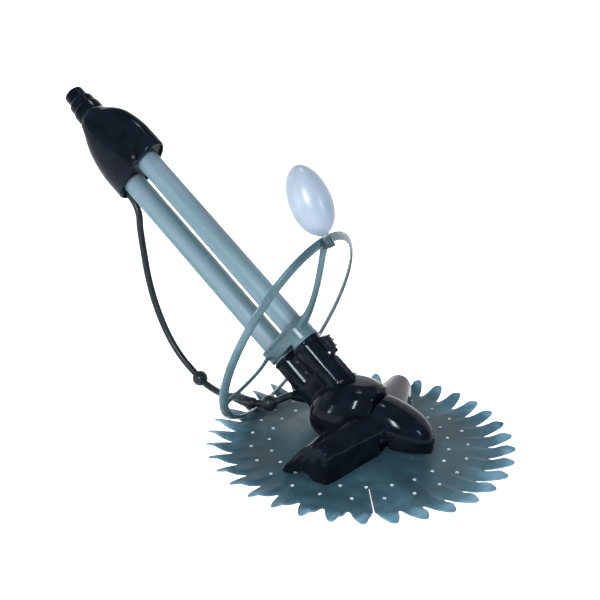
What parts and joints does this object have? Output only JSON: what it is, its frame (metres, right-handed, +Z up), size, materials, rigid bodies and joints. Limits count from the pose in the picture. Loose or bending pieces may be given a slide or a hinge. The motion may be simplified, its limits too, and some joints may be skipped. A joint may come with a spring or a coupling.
{
  "type": "pool cleaner",
  "caption": "Suction-side pool cleaner with stacked flow tubes, finned skirt disc, deflector wheel, float, bumper strap and hose swivel.",
  "frame": {"origin": "bottom centre of the whole object's box, on the floor the foot pad and the skirt disc rest on", "axes": "+Z up; -Y the way the cleaner travels, towards the nose bonnet; the flow tubes lean back towards +Y; +X the cleaner's side with hood_right"},
  "size_m": [0.42, 0.7236, 0.4698],
  "materials": {
    "black_gloss": "glossy moulded black plastic with a bluish sheen",
    "tube_clear": "smoky blue-grey translucent extruded plastic, glossy",
    "wheel_plastic": "moulded blue-grey plastic, satin gloss",
    "clip_plastic": "dark moulded plastic, satin",
    "float_shell": "pale blue blown plastic shell, glossy",
    "disc_rubber": "flexible moulded blue-grey elastomer, satin",
    "soft_black": "black elastomer, satin",
    "steel": "stainless fastener, brushed",
    "ballast": "coated cast weight, matt"
  },
  "bodies": {
    "cleaner": {"swivel_washer": "soft_black", "top_bell": "black_gloss", "tube_plate": "black_gloss", "upper_tube": "tube_clear", "upper_tube_seal": "soft_black", "upper_tube_gasket": "soft_black", "valve_seat_upper": "soft_black", "lower_tube": "tube_clear", "lower_tube_seal": "soft_black", "lower_tube_gasket": "soft_black", "valve_seat_lower": "soft_black", "bell_screw_left": "steel", "bell_screw_right": "steel", "body_screw_1": "steel", "body_screw_2": "steel", "body_screw_3": "steel", "body_screw_4": "steel", "flapper_pin": "steel", "latch_pin": "steel", "body_left": "black_gloss", "body_right": "black_gloss", "foot_collar": "black_gloss", "foot_pad": "soft_black", "pad_screw_1": "steel", "pad_screw_2": "steel", "pad_screw_3": "steel", "nose_cover": "black_gloss", "nose_weight": "ballast", "hood_right": "black_gloss", "hood_left": "black_gloss", "deflector_wheel": "wheel_plastic", "float_clip": "clip_plastic", "bumper_strap": "soft_black", "strap_sleeve": "soft_black", "strap_bracket": "black_gloss"},
    "swivel": {"hose_spigot": "black_gloss", "swivel_nut": "black_gloss"},
    "flapper": {"flapper": "soft_black"},
    "skirt_disc": {"disc": "disc_rubber"},
    "front_bead": {"bead_2": "soft_black"},
    "rear_bead": {"bead_1": "soft_black"},
    "float": {"float": "float_shell"},
    "latch": {"wheel_latch": "black_gloss"}
  },
  "joints": [
    {"name": "hose_swivel", "type": "hinge", "parent": "cleaner", "child": "swivel", "pos_m": [0, 0.30647, 0.41925], "axis": [0, 0.7612, 0.6485], "continuous": true},
    {"name": "flapper_rock", "type": "hinge", "parent": "cleaner", "child": "flapper", "pos_m": [0, -0.12512, 0.05154], "axis": [1, 0, 0], "range_deg": [-24, 24]},
    {"name": "disc_spin", "type": "hinge", "parent": "cleaner", "child": "skirt_disc", "pos_m": [0, -0.15185, 0.006], "axis": [0, 0, 1], "continuous": true},
    {"name": "bead_1_spin", "type": "hinge", "parent": "cleaner", "child": "rear_bead", "pos_m": [0, 0.12813, 0.03099], "axis": [-0.038, -0.8421, -0.5381], "continuous": true},
    {"name": "bead_2_spin", "type": "hinge", "parent": "cleaner", "child": "front_bead", "pos_m": [-0.01648, -0.01439, 0.03061], "axis": [0.4098, -0.8826, 0.2304], "continuous": true},
    {"name": "float_turn", "type": "hinge", "parent": "cleaner", "child": "float", "pos_m": [-0.01856, -0.10823, 0.28872], "axis": [-0.0201, 0.4431, 0.8963], "continuous": true},
    {"name": "latch_press", "type": "hinge", "parent": "cleaner", "child": "latch", "pos_m": [0, -0.10967, 0.12592], "axis": [1, 0, 0], "range_deg": [0, 12], "stiffness_Nm_per_rad": 0.05}
  ]
}
